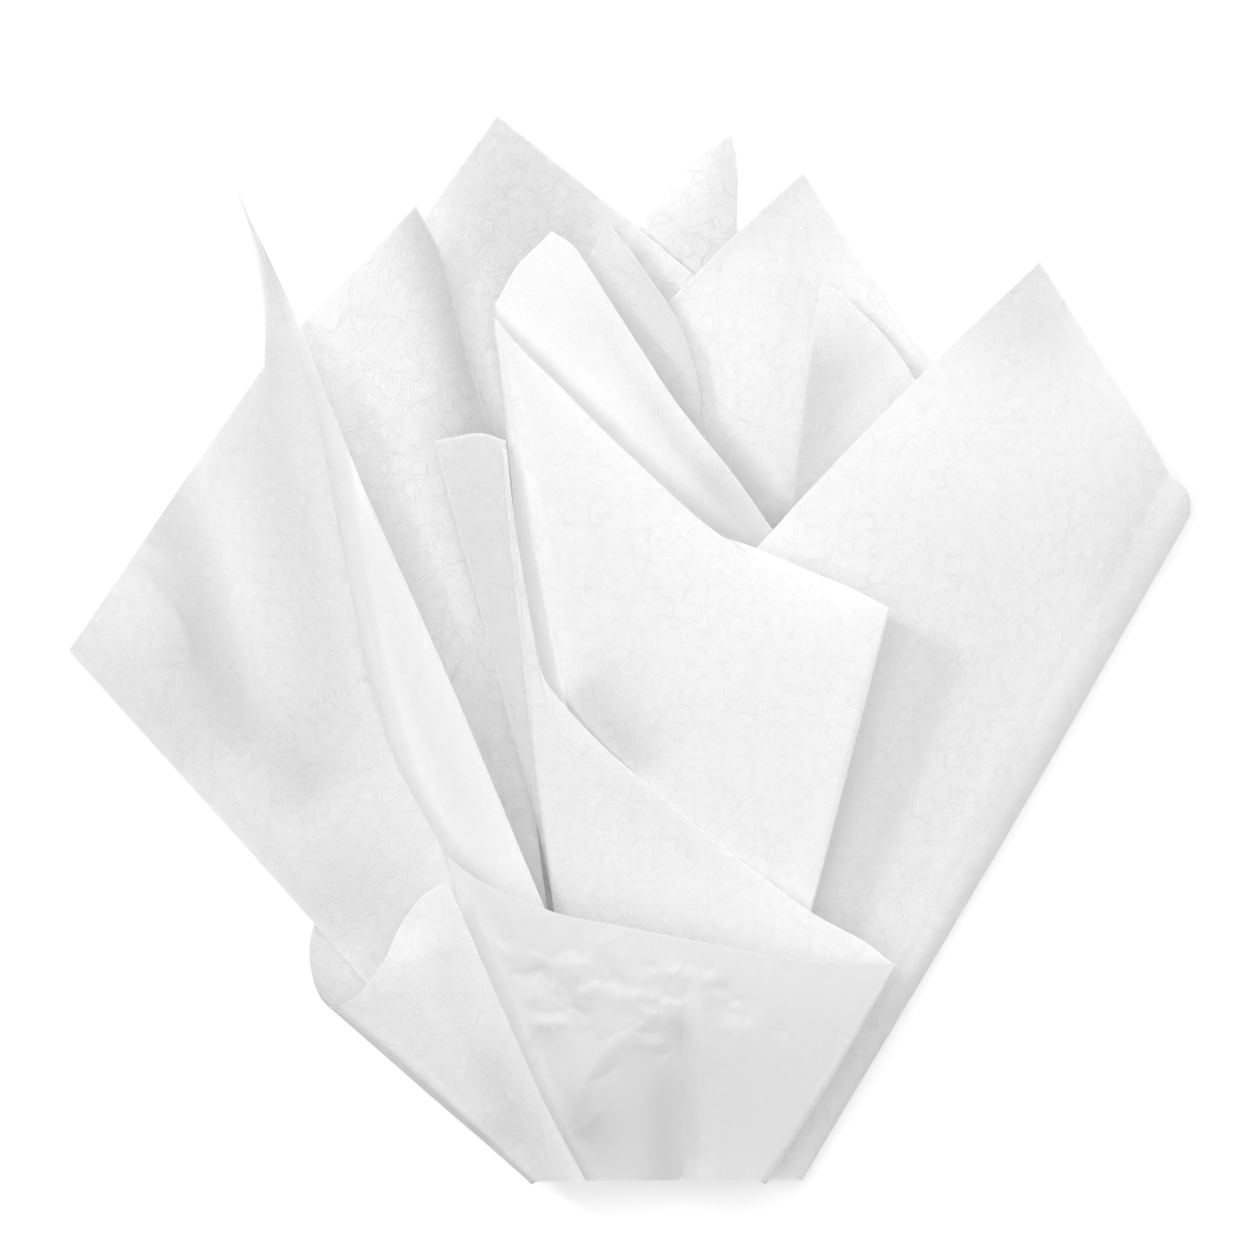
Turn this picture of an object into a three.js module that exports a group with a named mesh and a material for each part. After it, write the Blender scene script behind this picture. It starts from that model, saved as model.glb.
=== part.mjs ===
// A bunch of white tissue paper sheets, gathered at a neck and lying on its back.
//
// Millimetres, +Z up. The neck's cut end faces -Y, the paper fans out towards +Y, and the
// side that is looked at faces +Z. Points below are counted from the cut end, and the whole
// bunch is then moved so that its box is centred on X = 0 and Y = 0 and stands on Z = 0.
//
// Every sheet is one continuous piece of paper. It is drawn as a chain of panels, each a
// smooth patch between four edge curves, and where the paper doubles back a narrow turn
// joins two panels. The chain is then given its thickness.

import * as THREE from 'three';

const PAPER_THICKNESS = 0.8; // a solid stand-in for paper that really measures 0.04
const BUNCH_MOVE = [-1.05, -178.15, -0.6]; // from the cut end to the middle of the bunch's base
const LENGTH_STEPS = 12; // rows of facets from the neck to a sheet's upper edge
const TURN_STEPS = 4; // facets round a place where the paper doubles back
const WELD = 1e-3; // points nearer than this are one point

// ---------------------------------------------------------------------------- curves

// A smooth curve through [x, y, z] points, as evenly spaced points.
function through(points, steps) {
  const places = points.map((point) => new THREE.Vector3(...point));
  if (places.length === 2) places.splice(1, 0, places[0].clone().lerp(places[1], 0.5));
  return new THREE.CatmullRomCurve3(places, false, 'centripetal').getSpacedPoints(steps);
}

// Curves that meet end to end, with a sharp corner at each meeting.
function joined(...curves) {
  return curves.flatMap((curve, index) => (index === 0 ? curve : curve.slice(1)));
}

// The stretch of the neck's cut end between two [x, z] points.
function cutEnd([x0, z0], [x1, z1], steps) {
  const from = new THREE.Vector3(x0, 0, z0);
  const to = new THREE.Vector3(x1, 0, z1);
  return Array.from({ length: steps + 1 }, (_, i) => from.clone().lerp(to, i / steps));
}

// ---------------------------------------------------------------------------- panels

// A patch between a curve at the neck, an upper edge and two sides, as columns of points.
// It runs from the side `first` to the side `last`, and its cut end follows from them.
function panel(first, upper, last) {
  const columns = upper.length - 1;
  const rows = first.length - 1;
  const foot0 = first[0];
  const foot1 = last[0];
  const neck = cutEnd([foot0.x, foot0.z], [foot1.x, foot1.z], columns);
  const grid = [];
  for (let i = 0; i <= columns; i += 1) {
    const u = i / columns;
    const column = [];
    for (let j = 0; j <= rows; j += 1) {
      const v = j / rows;
      const place = new THREE.Vector3();
      place.addScaledVector(neck[i], 1 - v).addScaledVector(upper[i], v);
      place.addScaledVector(first[j], 1 - u).addScaledVector(last[j], u);
      place.addScaledVector(foot0, -(1 - u) * (1 - v)).addScaledVector(foot1, -u * (1 - v));
      place.addScaledVector(upper[0], -(1 - u) * v).addScaledVector(upper[columns], -u * v);
      column.push(place);
    }
    grid.push(column);
  }
  return grid;
}

// The rounded strip where the paper doubles back from one side curve to another. It swells
// towards `side` (-1 for left, 1 for right) by `reach` times half the gap between them.
function turn(front, back, side, reach) {
  const grid = Array.from({ length: TURN_STEPS + 1 }, () => []);
  front.forEach((near, j) => {
    const far = back[j];
    const middle = near.clone().lerp(far, 0.5);
    const arm = near.clone().sub(middle);
    const above = front[Math.min(j + 1, front.length - 1)];
    const below = front[Math.max(j - 1, 0)];
    const outward = above.clone().sub(below).cross(arm).normalize();
    if (outward.x * side < 0) outward.negate();
    for (let k = 0; k <= TURN_STEPS; k += 1) {
      const angle = (Math.PI * k) / TURN_STEPS;
      const place = middle.clone().addScaledVector(arm, Math.cos(angle));
      place.addScaledVector(outward, Math.sin(angle) * arm.length() * reach);
      if (j === 0) place.y = 0;
      grid[k].push(k === 0 ? near : k === TURN_STEPS ? far : place);
    }
  });
  return grid;
}

// ---------------------------------------------------------------------------- solid

// One closed solid: the sheet's panels and turns, welded and given the paper's thickness.
function sheetSolid(grids) {
  const places = [];
  const known = new Map();
  const indexOf = (place) => {
    const key = [place.x, place.y, place.z].map((value) => Math.round(value / WELD)).join();
    if (!known.has(key)) known.set(key, places.push(place) - 1);
    return known.get(key);
  };
  const faces = [];
  const addFace = (a, b, c) => {
    if (a !== b && b !== c && c !== a) faces.push([a, b, c]);
  };
  for (const grid of grids) {
    for (let i = 1; i < grid.length; i += 1) {
      for (let j = 1; j < grid[i].length; j += 1) {
        const a = indexOf(grid[i - 1][j - 1]);
        const b = indexOf(grid[i][j - 1]);
        const c = indexOf(grid[i][j]);
        const d = indexOf(grid[i - 1][j]);
        const shorterAC = places[a].distanceTo(places[c]) < places[b].distanceTo(places[d]);
        addFace(a, b, shorterAC ? c : d);
        addFace(shorterAC ? a : b, c, d);
      }
    }
  }

  const normals = places.map(() => new THREE.Vector3());
  const borders = new Map();
  for (const face of faces) {
    const [a, b, c] = face.map((index) => places[index]);
    const normal = b.clone().sub(a).cross(c.clone().sub(a));
    face.forEach((from, k) => {
      const to = face[(k + 1) % 3];
      normals[from].add(normal);
      if (!borders.delete(`${to},${from}`)) borders.set(`${from},${to}`, [from, to]);
    });
  }

  const half = PAPER_THICKNESS / 2;
  const count = places.length;
  const positions = [];
  for (const side of [half, -half]) {
    places.forEach((place, index) => {
      const moved = place.clone().addScaledVector(normals[index].normalize(), side);
      if (place.y === 0) moved.y = 0;
      positions.push(moved.x, moved.y, moved.z);
    });
  }
  const indices = [];
  for (const [a, b, c] of faces) indices.push(a, b, c, count + a, count + c, count + b);
  for (const [from, to] of borders.values()) {
    indices.push(from, count + from, to, to, count + from, count + to);
  }

  const geometry = new THREE.BufferGeometry();
  geometry.setAttribute('position', new THREE.Float32BufferAttribute(positions, 3));
  geometry.setIndex(indices);
  geometry.computeVertexNormals();
  return geometry;
}

const bunch = new THREE.Group();
bunch.position.set(...BUNCH_MOVE);

function addSheet(name, shade, grids) {
  const paper = new THREE.MeshStandardMaterial({ color: shade, roughness: 0.75, metalness: 0 });
  const sheet = new THREE.Mesh(sheetSolid(grids), paper);
  sheet.name = name;
  bunch.add(sheet);
}

// ---------------------------------------------------------------------------- front sheet

// The sheet nearest the viewer. From the left: a wide wing whose far corner is twisted into
// a spike, the low front wall, a fold at its right end, the inner wall behind it, and a
// narrow tongue that turns out of sight to the left.
{
  const wingSide = through([[-29, 0, 41], [-107, 89, 57], [-186, 177, 76]], LENGTH_STEPS + 8);
  const wingTop = joined(
    through([[-186, 177, 76], [-165, 208, 70], [-147, 235, 66], [-121, 272, 70]], 9),
    through([[-121, 272, 70], [-120.5, 289, 72], [-124, 313, 68], [-131.7, 334.7, 63]], 4),
  );
  const seam = through([[-8, 0, 42], [-35, 55, 60], [-61, 110, 80]], 8);
  const spikeEdge = through([[-61, 110, 80], [-80, 146, 84], [-92, 182, 86], [-99, 218, 86],
    [-107, 261, 84], [-110, 278, 82], [-115.5, 290, 79], [-123.5, 314, 71],
    [-131.7, 334.7, 63]], 12);
  const wing = panel(wingSide, wingTop, joined(seam, spikeEdge));

  const wallTop = through([[-61, 110, 80], [-54, 104, 83], [-46, 99, 86], [-23, 90, 91],
    [-4, 86, 94], [17, 82, 94], [32, 79, 91], [53, 75, 84], [88, 73, 70]], 14);
  const wallEnd = through([[43, 0, 40], [66, 36, 57], [88, 73, 70]], 8);
  const wall = panel(seam, wallTop, wallEnd);

  const innerEnd = through([[43, 0, 31], [66, 36, 50], [88, 73, 66]], 8);
  const fold = turn(wallEnd, innerEnd, 1, 0.7);
  const innerTop = joined(
    through([[88, 73, 66], [79, 80, 63], [61, 90, 60], [46, 101, 58.5], [30, 113, 57.5],
      [13, 127, 57], [-9, 146, 57], [-20, 157.5, 57]], 11),
    through([[-20, 157.5, 57], [-28, 168, 58], [-31.5, 183, 59], [-34.5, 200, 60],
      [-38, 222, 61], [-40.3, 244, 61]], 8),
  );
  const innerSide = through([[-13, 0, 31], [-18, 45, 36], [-23.5, 90, 42], [-31.5, 150, 51],
    [-35.5, 190, 56], [-38.8, 222, 59], [-40.3, 244, 61]], 8);
  const inner = panel(innerEnd, innerTop, innerSide);

  const tongueSide = through([[-13, 0, 28], [-18, 45, 33], [-23.5, 90, 39], [-31.5, 150, 48],
    [-35.5, 190, 53], [-38.8, 222, 56], [-40.3, 247, 58]], 8);
  const tongueTop = through([[-40.3, 247, 58], [-49, 249.5, 56], [-57, 248.5, 53],
    [-64.7, 247, 49]], 3);
  const tongueEdge = through([[-18, 0, 27], [-24.5, 90, 36], [-44, 170, 43],
    [-64.7, 247, 49]], 8);
  const tongue = panel(tongueSide, tongueTop, tongueEdge);
  const bend = turn(innerSide, tongueSide, -1, 0.8);

  addSheet('front_sheet', 0xf4f3f3, [wing, wall, fold, inner, bend, tongue]);
}

// ---------------------------------------------------------------------------- cuff sheet

// The sheet that hooks round the wing's lower edge: a short cuff lies in front of the wing,
// and the rest stands close behind it, up to the tip of its spike.
{
  const cuffEdge = through([[-14, 0, 46], [-27, 25, 56], [-40, 54, 69], [-60, 101, 89]], 8);
  const cuffTop = through([[-60, 101, 89], [-69, 95, 90], [-76, 85, 88], [-80.5, 75, 85],
    [-87, 66, 80], [-91, 62, 76], [-96, 59, 70]], 8);
  const cuffSide = through([[-30, 0, 45], [-63, 29.5, 58], [-96, 59, 70]], 8);
  const cuff = panel(cuffEdge, cuffTop, cuffSide);

  const backSide = through([[-30, 0, 36], [-68, 43, 44], [-103, 88, 51]], 8);
  const hook = turn(cuffSide, backSide, -1, 0.5);
  const backTop = through([[-103, 88, 51], [-110, 112, 52], [-120, 150, 54], [-127, 195, 57],
    [-128, 235, 60], [-122, 268, 62], [-121.5, 290, 63], [-125, 313, 62],
    [-131.5, 333.5, 60.5]], 16);
  const stripEdge = through([[10, 0, 37], [-10, 50, 48], [-27.7, 91.3, 56], [-41.3, 124, 61],
    [-56, 159.3, 65], [-68.7, 188.3, 67], [-88, 231.7, 69], [-99.7, 260.7, 69],
    [-108.7, 284.7, 68], [-115.3, 299.3, 67], [-125.7, 321, 63], [-131.5, 333.5, 60.5]], 8);
  const back = panel(backSide, backTop, stripEdge);

  addSheet('cuff_sheet', 0xf7f7f7, [cuff, hook, back]);
}

// ---------------------------------------------------------------------------- back sheet

// The rearmost sheet. Its left corner rolls forward, its tall corner stands at the back, and
// its right corner doubles back behind that and ends in a small curl.
{
  const rollEdge = through([[-14, 0, 24], [-27, 90, 27], [-38, 180, 27], [-46, 249, 25],
    [-52.5, 272, 26], [-57, 289, 28], [-61, 306, 31], [-70.7, 325.7, 38]], LENGTH_STEPS);
  const rollTop = through([[-70.7, 325.7, 38], [-90, 305, 44], [-109, 285, 42],
    [-122, 262, 38], [-124, 240, 34]], 8);
  const rollSide = through([[-24, 0, 24], [-60, 90, 30], [-98, 170, 32], [-124, 240, 34]],
    LENGTH_STEPS);
  const roll = panel(rollEdge, rollTop, rollSide);

  const tallSide = through([[-24, 0, 4], [-60, 90, 2.5], [-98, 170, 1.5], [-124, 240, 1]],
    LENGTH_STEPS);
  const leftTurn = turn(rollSide, tallSide, -1, 0.5);
  const tallTop = joined(
    through([[-124, 240, 1], [-96, 282, 7], [-67.7, 322.7, 13], [-43.7, 356.3, 17]], 8),
    through([[-43.7, 356.3, 17], [-20, 337, 16], [4.7, 317.3, 15], [44, 284, 12]], 8),
  );
  const tallEnd = through([[40, 0, 4], [42, 142, 8], [44, 284, 12]], LENGTH_STEPS);
  const tall = panel(tallSide, tallTop, tallEnd);

  const curlSide = through([[40, 0, 1], [42, 142, 1.5], [44, 284, 3]], LENGTH_STEPS);
  const rightTurn = turn(tallEnd, curlSide, 1, 0.8);
  const curlEdge = through([[44, 284, 3], [38.5, 302, 3], [36.7, 317, 3], [36.7, 339, 5],
    [35, 350, 7]], 4);
  const curlTop = through([[35, 350, 7], [24, 342.7, 9], [15.7, 334, 8], [9, 326.7, 6],
    [5, 321.3, 4], [3, 316, 3], [-2, 300, 2]], 9);
  const curlEnd = through([[-5, 0, 1], [-4, 150, 1.5], [-2, 300, 2]], LENGTH_STEPS + 4);
  const curl = panel(joined(curlSide, curlEdge), curlTop, curlEnd);

  addSheet('back_sheet', 0xeeeeee, [roll, leftTurn, tall, rightTurn, curl]);
}

// ---------------------------------------------------------------------------- centre sheet

// The cone in the middle. Its broad front is folded at the right edge, where a short inner
// leaf doubles back, and turns at the left into the taller leaf behind.
{
  const leafEdge = through([[10, 0, 18.5], [15, 106, 37], [20, 218, 54]], LENGTH_STEPS);
  const leafTop = through([[20, 218, 54], [34.3, 214, 59], [42.3, 211.3, 61],
    [60, 203.7, 64], [75, 197.5, 65.5], [86, 191.7, 66]], 6);
  const leafFold = through([[36, 0, 18.5], [60, 91, 42], [86, 191.7, 66]], LENGTH_STEPS);
  const leaf = panel(leafEdge, leafTop, leafFold);

  const frontFold = through([[36, 0, 21.5], [60, 91, 45.5], [86, 191.7, 69]], LENGTH_STEPS);
  const fold = turn(leafFold, frontFold, 1, 0.8);
  const frontTop = through([[86, 191.7, 69], [79, 192.3, 70], [69.7, 194.7, 71],
    [53.3, 201.3, 72], [37.3, 210.7, 72], [22, 222.3, 71.5], [3.7, 239, 70],
    [-9.7, 251.7, 69], [-21.7, 264, 67], [-33.7, 275.7, 63], [-40.3, 283, 59],
    [-44, 288, 55]], 14);
  const frontSide = through([[-4, 0, 21.5], [-12, 80, 36], [-20.3, 157.7, 49],
    [-28.3, 201, 52], [-32.7, 222.3, 53], [-36.7, 240.3, 53.5], [-40, 260, 54],
    [-44, 288, 55]], LENGTH_STEPS);
  const front = panel(frontFold, frontTop, frontSide);

  const tallSide = through([[-4, 0, 12], [-16, 80, 22], [-30, 157.7, 31], [-36, 201, 36],
    [-39, 240, 40], [-44, 293, 43]], LENGTH_STEPS);
  const bend = turn(frontSide, tallSide, -1, 0.2);
  const tallTop = joined(
    through([[-44, 293, 43], [-37, 305.3, 43], [-29.3, 313, 43], [-25.5, 317, 43]], 4),
    through([[-25.5, 317, 43], [-18.3, 312, 42], [-14, 306, 41.5], [3, 279.7, 39],
      [15.7, 260.3, 37], [36.3, 234.3, 34], [48.3, 217.3, 31], [67, 191, 28]], 12),
  );
  const tallEdge = through([[48, 0, 12], [57, 96, 20], [67, 191, 28]], LENGTH_STEPS);
  const tall = panel(tallSide, tallTop, tallEdge);

  addSheet('centre_sheet', 0xf9f9f9, [leaf, fold, front, bend, tall]);
}

// ---------------------------------------------------------------------------- right sheet

// The widest sheet. Its front leaf rolls under along the bunch's right side, and its rear
// leaf comes up behind as a second corner.
{
  const leafEdge = through([[5, 0, 15], [12, 92, 28], [17, 185, 40]], LENGTH_STEPS);
  const leafTop = joined(
    through([[17, 185, 40], [42.3, 210.7, 44], [57.3, 227.3, 46], [101, 272.3, 49],
      [137.3, 307, 46]], 9),
    through([[137.3, 307, 46], [157.3, 275.7, 42], [174, 249, 36], [181, 236, 31]], 5),
  );
  const leafSide = through([[55, 0, 15], [118, 118, 24], [181, 236, 31]], LENGTH_STEPS);
  const leaf = panel(leafEdge, leafTop, leafSide);

  const rearSide = through([[55, 0, 7], [112, 108, 3.5], [165, 215, 1]], LENGTH_STEPS);
  const roll = turn(leafSide, rearSide, 1, 0.75);
  const rearTop = joined(
    through([[165, 215, 1], [140, 240, 4], [101, 272.3, 12], [78, 306.7, 17],
      [58.7, 337.3, 21]], 8),
    through([[58.7, 337.3, 21], [37, 317.3, 21], [14.7, 294.7, 20], [-9, 270, 19]], 6),
  );
  const rearEdge = through([[15, 0, 7], [3, 135, 13], [-9, 270, 19]], LENGTH_STEPS);
  const rear = panel(rearSide, rearTop, rearEdge);

  addSheet('right_sheet', 0xf3f3f3, [leaf, roll, rear]);
}

// ---------------------------------------------------------------------------- inner sheet

// The small sheet held inside the others, with two corners that stand apart.
{
  const leftEdge = through([[18, 0, 10], [0, 150, 20], [-20, 292, 29]], LENGTH_STEPS);
  const leftTop = joined(
    through([[-20, 292, 29], [-14, 306, 30], [-7, 320.7, 30]], 3),
    through([[-7, 320.7, 30], [5.3, 304.3, 30], [16.7, 286.7, 28], [23, 268, 26],
      [25.3, 248.3, 24], [31, 222, 22], [40, 197, 20]], 9),
  );
  const valley = through([[30, 0, 10], [36, 100, 15], [40, 197, 20]], LENGTH_STEPS);
  const left = panel(leftEdge, leftTop, valley);

  const slitEdge = through([[40, 197, 20], [47, 204, 21], [52, 213, 22], [54, 223.3, 23.5],
    [58.7, 259, 27], [61.7, 284, 29], [64.3, 299.3, 30]], 7);
  const rightTop = through([[64.3, 299.3, 30], [68.7, 298, 28], [77, 291, 25],
    [88, 279.7, 22.5], [96.3, 267.3, 21], [112, 245, 19]], 7);
  const rightEdge = through([[48, 0, 10], [80, 122, 14], [112, 245, 19]], LENGTH_STEPS + 7);
  const right = panel(joined(valley, slitEdge), rightTop, rightEdge);

  addSheet('inner_sheet', 0xeaeaea, [left, right]);
}

export default bunch;
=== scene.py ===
import bpy
import numpy as np
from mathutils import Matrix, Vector


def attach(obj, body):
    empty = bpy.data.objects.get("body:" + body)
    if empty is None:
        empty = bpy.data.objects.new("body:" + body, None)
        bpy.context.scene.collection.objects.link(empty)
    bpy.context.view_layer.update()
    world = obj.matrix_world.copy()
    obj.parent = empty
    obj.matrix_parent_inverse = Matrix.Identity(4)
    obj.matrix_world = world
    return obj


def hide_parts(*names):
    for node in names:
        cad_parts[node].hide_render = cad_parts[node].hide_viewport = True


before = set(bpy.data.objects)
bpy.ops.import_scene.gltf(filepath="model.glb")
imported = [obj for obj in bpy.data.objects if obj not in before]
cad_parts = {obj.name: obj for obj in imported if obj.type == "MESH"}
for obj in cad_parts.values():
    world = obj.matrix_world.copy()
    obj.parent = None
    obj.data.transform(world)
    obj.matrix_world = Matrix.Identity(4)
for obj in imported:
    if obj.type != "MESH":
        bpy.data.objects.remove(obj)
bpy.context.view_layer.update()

# ------------------------------------------------------------------------------------ camera
# The bunch lies on its back and is looked at from straight above, with the tips of its
# sheets towards the top of the view. A long lens far away keeps the sheets' outlines true.

VIEW_WIDTH = 0.418  # metres across the whole square view, at the bunch
VIEW_DISTANCE = 8.0
VIEW_CENTRE = (-0.0014, 0.0068, 0.045)

camera_data = bpy.data.cameras.new("camera")
camera_data.sensor_width = 36.0
camera_data.lens = camera_data.sensor_width * VIEW_DISTANCE / VIEW_WIDTH
camera_data.clip_start = 0.1
camera_data.clip_end = 100.0
camera = bpy.data.objects.new("camera", camera_data)
camera.location = Vector(VIEW_CENTRE) + Vector((0, 0, VIEW_DISTANCE))
bpy.context.collection.objects.link(camera)
bpy.context.scene.camera = camera

# ------------------------------------------------------------------------------- front sheet
# The foremost cut sheet of white tissue paper. Its left corner is a wing, its lower edge a
# low crumpled wall, which folds at the right, comes back up inside as the inner wall and
# ends in a narrow tongue. It is shaped by hand and held in the bunch's gathered neck.

# All places on the sheets are in mm from the middle of the cut neck: X to the right, Y
# towards the tips and Z up. BUNCH_MOVE takes them from there to the frame.
BUNCH_MOVE = (-1.05, -178.15, -0.6)
MM_PER_METRE = 1000
ROWS = 14  # fine rows to each coarse step from the neck to a sheet's upper edge
COLUMNS = 10  # fine columns to each coarse step across a sheet
TURN_COLUMNS = 10  # columns round a place where the paper doubles back
WELD_PLACES = 4  # decimals of a millimetre to which meeting panels agree
CURVE_SAMPLES = 60  # places on each stretch of a curve while its length is being measured


def curve(points, steps):
    """Evenly spaced points on a smooth curve through the given ones, in mm."""
    points = np.array(points, float)
    if len(points) == 2:
        points = np.insert(points, 1, points.mean(axis=0), axis=0)
    first = 2 * points[0] - points[1]
    last = 2 * points[-1] - points[-2]
    points = np.vstack([first, points, last])
    t = np.linspace(0, 1, CURVE_SAMPLES)[:-1, None]
    dense = []
    for a, b, c, d in zip(points, points[1:], points[2:], points[3:]):
        ab, bc, cd = (np.sqrt(np.linalg.norm(q - p)) for p, q in ((a, b), (b, c), (c, d)))
        leave = ((b - a) / ab - (c - a) / (ab + bc) + (c - b) / bc) * bc
        arrive = ((c - b) / bc - (d - b) / (bc + cd) + (d - c) / cd) * bc
        dense.append(
            b * (2 * t**3 - 3 * t**2 + 1)
            + leave * (t**3 - 2 * t**2 + t)
            + c * (3 * t**2 - 2 * t**3)
            + arrive * (t**3 - t**2)
        )
    dense = np.vstack([*dense, points[-2]])
    way = np.insert(np.cumsum(np.linalg.norm(np.diff(dense, axis=0), axis=1)), 0, 0)
    even = np.linspace(0, way[-1], steps + 1)
    return np.stack([np.interp(even, way, dense[:, k]) for k in range(3)], axis=1)


def side(points, steps):
    """A curve from the neck to a sheet's upper edge, in a number of coarse steps."""
    return curve(points, steps * ROWS)


def rim(points, steps):
    """A curve along a sheet's upper edge, in a number of coarse steps."""
    return curve(points, steps * COLUMNS)


def joined(*curves):
    """Curves that meet end to end, with a sharp corner at each meeting."""
    return np.vstack([curves[0], *(c[1:] for c in curves[1:])])


def patch(first, upper, last):
    """A smooth patch of paper between two sides, an upper edge and the cut neck."""
    u = np.linspace(0, 1, len(upper))[:, None, None]
    v = np.linspace(0, 1, len(first))[None, :, None]
    neck = first[0] * (1 - u) + last[0] * u
    return (
        neck * (1 - v)
        + upper[:, None] * v
        + first[None] * (1 - u)
        + last[None] * u
        - first[0] * (1 - u) * (1 - v)
        - last[0] * u * (1 - v)
        - upper[0] * (1 - u) * v
        - upper[-1] * u * v
    )


def turn(front, back, way, reach):
    """The rounded strip where the paper doubles back between two edges. It swells to the
    left (way -1) or right (way 1), by reach times half the gap between the edges."""
    middle = (front + back) / 2
    arm = front - middle
    outward = np.cross(np.gradient(front, axis=0), arm)
    outward /= np.linalg.norm(outward, axis=1, keepdims=True)
    outward *= np.where(outward[:, :1] * way < 0, -1, 1)
    half_gap = np.linalg.norm(arm, axis=1, keepdims=True)
    angle = np.linspace(0, np.pi, TURN_COLUMNS + 1)[:, None, None]
    grid = middle + arm * np.cos(angle) + outward * half_gap * np.sin(angle) * reach
    grid[:, 0, 1] = 0  # the cut neck stays straight
    grid[0], grid[-1] = front, back
    return grid


def ease(value):
    """0 below 0, 1 above 1, and a smooth step between."""
    value = np.clip(value, 0, 1)
    return value * value * (3 - 2 * value)


def from_line(places, line):
    """How far places lie from a line seen from above, on which hand of the way it runs (1 is
    left), and how far along it, as a share."""
    line = np.array(line, float)
    flat = places[..., :2]
    runs = np.linalg.norm(np.diff(line, axis=0), axis=1)
    begins = np.insert(np.cumsum(runs), 0, 0)
    best = np.full(flat.shape[:-1], np.inf)
    hand, share = np.zeros_like(best), np.zeros_like(best)
    for a, b, run, begin in zip(line, line[1:], runs, begins):
        d, to = (b - a) / run, flat - a
        t = np.clip(to @ d, 0, run)
        gap = np.linalg.norm(to - t[..., None] * d, axis=-1)
        near = gap < best
        best = np.where(near, gap, best)
        hand = np.where(near, np.sign(d[0] * to[..., 1] - d[1] * to[..., 0]), hand)
        share = np.where(near, (begin + t) / begins[-1], share)
    return best, hand, share


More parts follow.
